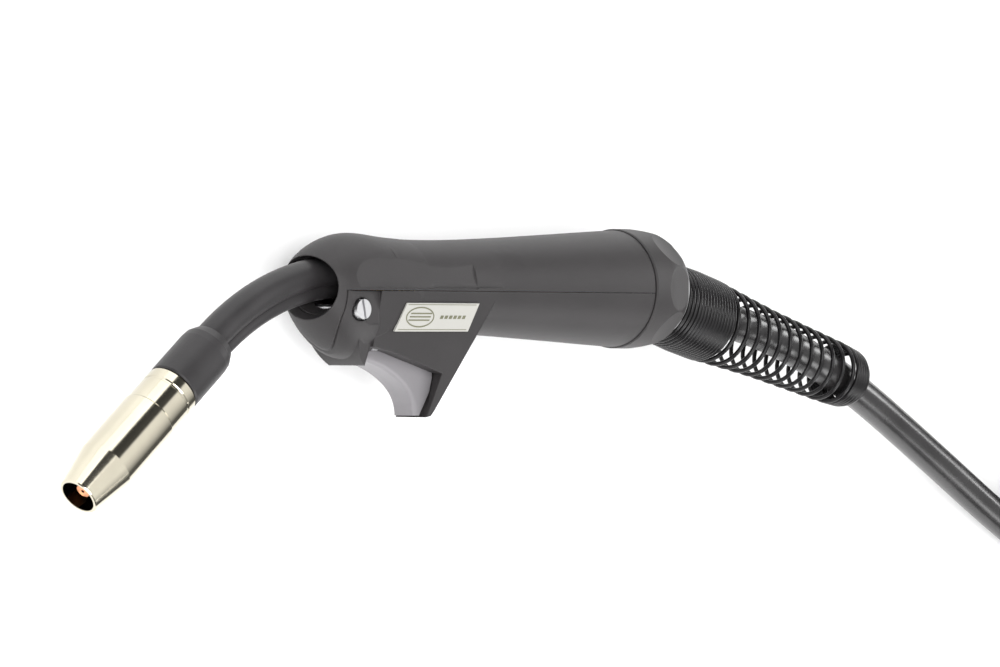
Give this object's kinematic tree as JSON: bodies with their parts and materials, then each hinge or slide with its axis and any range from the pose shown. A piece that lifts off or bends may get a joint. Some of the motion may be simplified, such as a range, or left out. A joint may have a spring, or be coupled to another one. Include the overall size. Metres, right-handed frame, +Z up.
{
  "type": "mig welding torch",
  "caption": "Gas-shielded welding torch: curved neck with push-on conical nozzle, waisted handle with finger trigger, swivelling cable support spring, coiled lead and central-connector plug.",
  "frame": {"origin": "on the surface the torch lies on, under the middle of the torch itself (cable, coil and plug left out)", "axes": "+X along the handle from the nozzle to the cable, +Y the torch's own up (the trigger points to -Y), +Z up, out of the label side"},
  "size_m": [0.7172, 0.1687, 0.0412],
  "materials": {
    "handle_plastic": "fine spark-eroded grain, matt",
    "trigger_plastic": "satin moulded grey",
    "ring_plastic": "satin moulded light grey",
    "black_plastic": "satin moulded black",
    "cream_label": "printed film, satin",
    "nickel": "bright nickel plate over brass, warm",
    "brass": "turned brass",
    "copper": "drawn copper",
    "steel": "zinc-plated steel",
    "spring_black": "black coated spring wire, glossy",
    "cable_rubber": "smooth glossy cable jacket",
    "sleeve_rubber": "matt shrink sleeve",
    "ceramic": "glass-fibre insulator",
    "tie_fabric": "woven hook-and-loop strap",
    "lead_red": "thin control leads"
  },
  "bodies": {
    "cable_assembly": {"knuckle_ball": "black_plastic", "cable_support_spring": "spring_black", "torch_cable": "cable_rubber", "cable_coil": "cable_rubber", "coil_tie": "tie_fabric", "cable_tail": "cable_rubber", "plug_boot": "sleeve_rubber", "plug_housing": "black_plastic", "plug_body": "brass", "power_pin": "brass", "gas_nipple": "brass", "gas_nipple_seal": "sleeve_rubber", "control_pins": "brass"},
    "socket": {"socket_ring": "ring_plastic"},
    "trigger_lever": {"trigger": "trigger_plastic"},
    "plunger": {"switch_plunger": "lead_red"},
    "nozzle": {"gas_nozzle": "nickel"},
    "plug_nut": {"hand_nut": "black_plastic"},
    "handle": {"neck_tube": "copper", "gas_tube": "copper", "neck_sleeve": "sleeve_rubber", "neck_end_sleeve": "sleeve_rubber", "neck_head": "brass", "gas_diffuser": "brass", "contact_tip": "copper", "nozzle_insulator": "ceramic", "nozzle_retaining_spring": "steel", "handle_shell_upper": "handle_plastic", "handle_shell_lower": "handle_plastic", "retaining_collar": "handle_plastic", "shell_screw": "steel", "shell_nut": "steel", "label_plate": "cream_label", "trigger_pin": "steel", "trigger_return_spring": "steel", "microswitch": "black_plastic", "switch_terminals": "brass", "trigger_leads": "lead_red", "neck_block": "brass", "conductor_tail": "copper", "block_clamp_screws": "steel"}
  },
  "joints": [
    {"name": "support_tilt", "type": "hinge", "parent": "cable_assembly", "child": "socket", "pos_m": [0.11355, 0.02432, 0.02058], "axis": [0, 0, 1], "range_deg": [-29, 0]},
    {"name": "handle_swivel", "type": "hinge", "parent": "socket", "child": "handle", "pos_m": [0.11355, 0.02432, 0.02058], "axis": [-1, 0, 0], "continuous": true},
    {"name": "trigger_press", "type": "hinge", "parent": "handle", "child": "trigger_lever", "pos_m": [-0.02095, 0.00472, 0.02058], "axis": [0, 0, 1], "range_deg": [0, 6], "stiffness_Nm_per_rad": 3, "springref_deg": -8.59},
    {"name": "switch_travel", "type": "slide", "parent": "handle", "child": "plunger", "axis": [0, 1, 0], "range_m": [0, 0.0014]},
    {"name": "nozzle_pull", "type": "slide", "parent": "handle", "child": "nozzle", "axis": [-0.7727, -0.6347, 0], "range_m": [0, 0.06]},
    {"name": "plug_nut_spin", "type": "hinge", "parent": "cable_assembly", "child": "plug_nut", "pos_m": [0.55205, -0.03568, 0.02008], "axis": [0, 1, 0], "continuous": true}
  ],
  "couplings": [
    {"joint": "switch_travel", "follows": "trigger_press", "m_per_rad": 0.0128}
  ]
}
